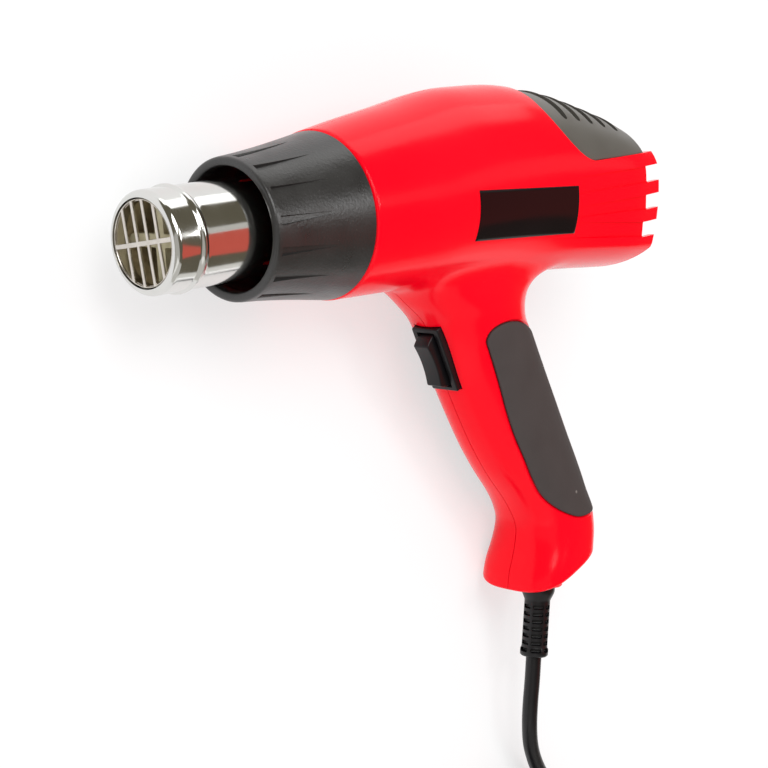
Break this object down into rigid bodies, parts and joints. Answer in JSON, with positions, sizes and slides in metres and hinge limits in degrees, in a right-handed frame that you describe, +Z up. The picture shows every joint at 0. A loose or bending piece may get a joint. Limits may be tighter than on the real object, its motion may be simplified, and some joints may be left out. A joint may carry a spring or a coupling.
{
  "type": "hot air tool",
  "caption": "Pistol-grip heat gun on its side: chromed outlet tube with grille, twist-off heat guard, blower and heater in a clamshell housing, rocker switch, soft grips and coiled mains lead.",
  "frame": {"origin": "centre of the tool's box on the bench it lies on, without its free lead", "axes": "+X back along the barrel from the outlet to the tail, +Y towards the tool's top, away from the handle's end, +Z up from the bench, out of the tool's left side"},
  "size_m": [0.2416, 0.3966, 0.069],
  "materials": {
    "red_abs": "glossy moulded red plastic",
    "guard_grey": "dark grey heat-resistant plastic with a fine satin texture",
    "chrome_tube": "bright chromed sheet steel",
    "ceramic": "unglazed cream ceramic",
    "resistance_wire": "oxidised resistance wire",
    "mica": "pressed mica",
    "duct_plastic": "off-white moulded plastic",
    "plain_steel": "plain or zinc-plated steel",
    "black_plastic": "black moulded plastic",
    "cover_grey": "warm grey satin plastic",
    "soft_grip": "dark soft-touch rubber",
    "board_green": "lacquered circuit board",
    "black_rubber": "black cord and boot rubber"
  },
  "bodies": {
    "tool_body": {"housing_left": "red_abs", "housing_right": "red_abs", "nozzle_tube": "chrome_tube", "outlet_grille": "chrome_tube", "heater_core": "ceramic", "heating_coil": "resistance_wire", "mica_sleeve": "mica", "heater_base": "mica", "air_duct": "duct_plastic", "motor_can": "plain_steel", "motor_end_cap": "black_plastic", "inlet_grille": "black_plastic", "vent_cover": "cover_grey", "switch_body": "black_plastic", "grip_left": "soft_grip", "grip_right": "soft_grip", "rectifier_board": "board_green", "strain_relief": "black_rubber", "cord_end": "black_rubber", "cord_clamp": "black_plastic", "clamp_screw_1": "plain_steel", "clamp_screw_2": "plain_steel", "housing_screw_1": "plain_steel", "housing_screw_2": "plain_steel", "housing_screw_3": "plain_steel", "housing_screw_4": "plain_steel", "housing_screw_5": "plain_steel", "housing_screw_6": "plain_steel", "cord_stretch": "black_rubber", "cord_coil": "black_rubber", "coil_tie": "black_plastic", "plug_body": "black_rubber", "plug_pin_1": "plain_steel", "plug_pin_2": "plain_steel"},
    "heat_guard": {"guard_collar": "guard_grey"},
    "switch_rocker": {"rocker": "black_plastic"},
    "fan_rotor": {"motor_shaft": "plain_steel", "impeller": "black_plastic"}
  },
  "joints": [
    {"name": "guard_twist", "type": "hinge", "parent": "tool_body", "child": "heat_guard", "pos_m": [-0.08428, 0.07878, 0.03453], "axis": [1, 0, 0], "range_deg": [0, 30]},
    {"name": "switch_rock", "type": "hinge", "parent": "tool_body", "child": "switch_rocker", "pos_m": [0.01765, 0.01857, 0.02936], "axis": [0, -0.0855, 0.9963], "range_deg": [-10, 10]},
    {"name": "fan_spin", "type": "hinge", "parent": "tool_body", "child": "fan_rotor", "pos_m": [0.06482, 0.07878, 0.03453], "axis": [1, 0, 0], "continuous": true}
  ]
}
